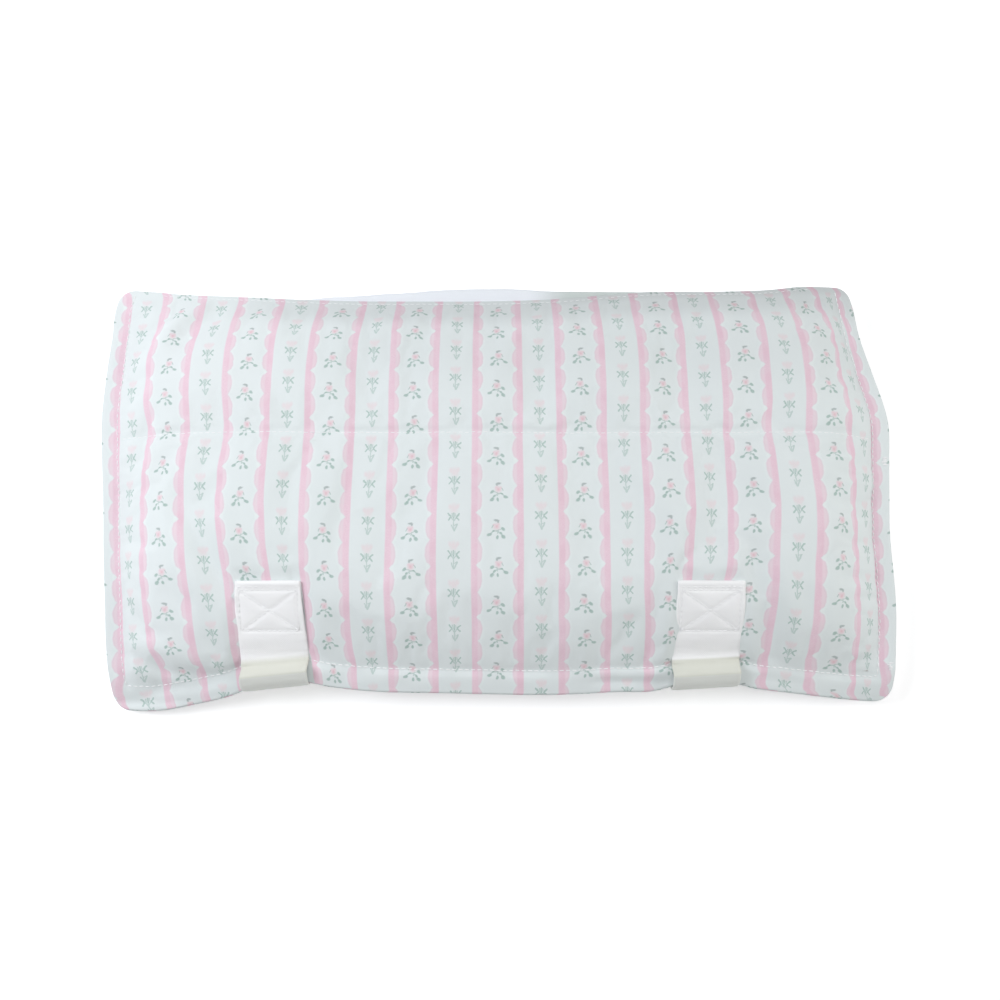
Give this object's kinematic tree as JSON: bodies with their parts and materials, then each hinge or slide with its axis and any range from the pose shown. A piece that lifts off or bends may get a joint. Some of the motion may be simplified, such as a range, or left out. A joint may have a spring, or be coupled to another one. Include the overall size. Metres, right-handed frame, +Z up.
{
  "type": "changing pad",
  "caption": "Folded padded changing pad in printed cotton with a plain lining, a spine strip and two webbing straps with hook-and-loop tabs.",
  "frame": {"origin": "on the floor, under the middle of the folded pad", "axes": "+X across the pad's width, +Y from the straps towards the spine, +Z up out of the front half"},
  "size_m": [0.464, 0.246, 0.0473],
  "materials": {
    "printed_cotton": "matt cotton with a printed pastel stripe",
    "plain_lining": "matt plain weave",
    "wadding": "soft fibre wadding",
    "thread": "spun sewing thread",
    "webbing": "flat woven webbing",
    "loop_pile": "brushed loop pile",
    "hook_nylon": "moulded nylon hooks"
  },
  "bodies": {
    "back_half": {"back_cover": "printed_cotton", "back_batting": "wadding", "back_lining": "plain_lining", "back_topstitch": "thread", "back_quilt_stitch": "thread", "back_spine_stitch": "thread", "spine_strip": "plain_lining", "left_strap_base": "webbing", "right_strap_base": "webbing", "left_anchor_stitch": "thread", "right_anchor_stitch": "thread"},
    "front_half": {"front_cover": "printed_cotton", "front_batting": "wadding", "front_lining": "plain_lining", "front_topstitch": "thread", "front_quilt_stitch": "thread", "front_spine_stitch": "thread", "left_loop_patch": "loop_pile", "right_loop_patch": "loop_pile", "left_loop_stitch": "thread", "right_loop_stitch": "thread"},
    "left_loop": {"left_strap_loop": "webbing"},
    "left_tab": {"left_strap_tab": "webbing", "left_hook_patch": "hook_nylon", "left_box_stitch": "thread"},
    "right_loop": {"right_strap_loop": "webbing"},
    "right_tab": {"right_strap_tab": "webbing", "right_hook_patch": "hook_nylon", "right_box_stitch": "thread"}
  },
  "joints": [
    {"name": "front_fold", "type": "hinge", "parent": "back_half", "child": "front_half", "pos_m": [0, 0.1198, 0.0225], "axis": [-1, 0, 0], "range_deg": [0, 180], "deforming": ["spine_strip"]},
    {"name": "left_strap_swing", "type": "hinge", "parent": "back_half", "child": "left_loop", "pos_m": [-0.1245, -0.1145, 0.0172], "axis": [1, 0, 0], "range_deg": [0, 90]},
    {"name": "left_tab_peel", "type": "hinge", "parent": "left_loop", "child": "left_tab", "pos_m": [-0.1245, -0.1145, 0.0278], "axis": [1, 0, 0], "range_deg": [0, 90]},
    {"name": "right_strap_swing", "type": "hinge", "parent": "back_half", "child": "right_loop", "pos_m": [0.1225, -0.1145, 0.0172], "axis": [1, 0, 0], "range_deg": [0, 90]},
    {"name": "right_tab_peel", "type": "hinge", "parent": "right_loop", "child": "right_tab", "pos_m": [0.1225, -0.1145, 0.0278], "axis": [1, 0, 0], "range_deg": [0, 90]}
  ],
  "couplings": [
    {"joint": "left_tab_peel", "follows": "left_strap_swing", "ratio": 1},
    {"joint": "right_tab_peel", "follows": "right_strap_swing", "ratio": 1}
  ]
}
